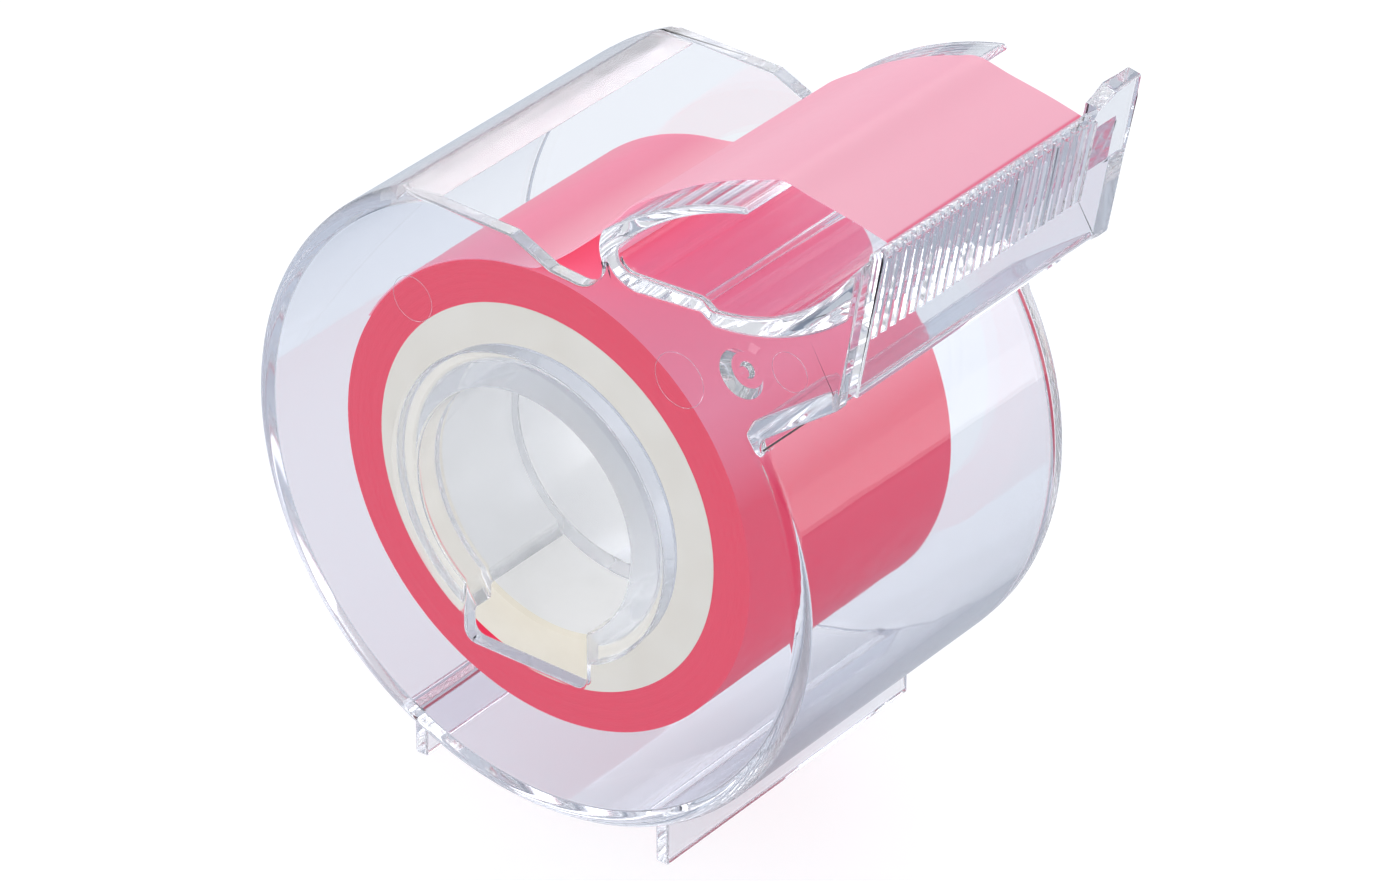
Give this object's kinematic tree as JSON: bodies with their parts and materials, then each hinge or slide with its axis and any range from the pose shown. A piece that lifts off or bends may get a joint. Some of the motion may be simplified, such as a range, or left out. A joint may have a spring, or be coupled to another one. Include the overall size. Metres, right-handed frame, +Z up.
{
  "type": "adhesive tape dispenser",
  "caption": "Round clear snap-together hand dispenser holding a wide roll of pink self-adhesive tape, with a C-shaped guide, a ribbed saw-tooth cutter plate and straight feet.",
  "frame": {"origin": "on the resting plane under the feet, below the middle of the outline and at mid width", "axes": "+X towards the cutter, +Y towards the removable cover, +Z up; the roll turns about a line along Y"},
  "size_m": [0.0634, 0.035, 0.067],
  "materials": {
    "clear_case": "clear moulded polystyrene",
    "clear_cover": "clear moulded polystyrene",
    "core": "matt moulded, grey white",
    "tape": "matt tinted film, wound",
    "film": "single layer of matt tinted film"
  },
  "bodies": {
    "case": {"side_wall": "clear_case", "rim_band": "clear_case", "tape_guide": "clear_case", "hub_sleeve": "clear_case", "foot_front": "clear_case", "foot_rear": "clear_case", "tape_lead": "film"},
    "cover": {"cover_wall": "clear_cover", "cutter_plate": "clear_cover", "cover_hub": "clear_cover"},
    "roll": {"core": "core", "tape_roll": "tape"}
  },
  "joints": [
    {"name": "roll_spin", "type": "hinge", "parent": "case", "child": "roll", "pos_m": [-0.00315, 0, 0.03013], "axis": [0, 1, 0], "continuous": true},
    {"name": "cover_pull", "type": "slide", "parent": "case", "child": "cover", "axis": [0, 1, 0], "range_m": [0, 0.04]}
  ]
}
